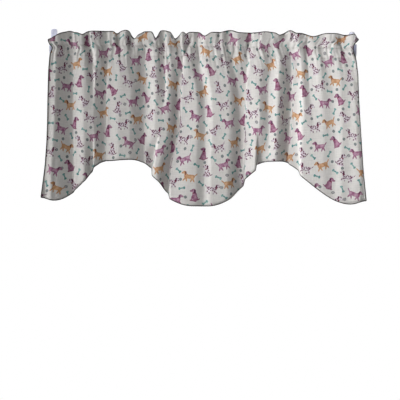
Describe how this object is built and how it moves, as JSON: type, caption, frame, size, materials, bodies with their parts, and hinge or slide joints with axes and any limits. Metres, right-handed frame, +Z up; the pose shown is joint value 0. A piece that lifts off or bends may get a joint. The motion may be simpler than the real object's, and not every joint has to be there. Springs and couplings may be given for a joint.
{
  "type": "window valance with curtain rod and wall brackets",
  "caption": "Gathered rod-pocket window valance with a header ruffle and a scalloped hem, hung on a plain round rod laid in white wall brackets.",
  "frame": {"origin": "on the wall plane, midway between the two brackets, level with the rod's axis", "axes": "+X along the rod to the right of someone who faces the wall, +Y into the wall, +Z up; the cloth's printed face looks along -Y"},
  "size_m": [0.8524, 0.0976, 0.47],
  "materials": {
    "printed_cotton": "plain-weave off-white cotton with an all-over print, matt",
    "white_enamel": "baked white enamel on steel tube, satin",
    "white_plastic": "moulded white plastic, satin"
  },
  "bodies": {
    "root": {"valance_cloth": "printed_cotton", "curtain_rod": "white_enamel", "bracket_left": "white_plastic", "bracket_right": "white_plastic"}
  },
  "joints": []
}
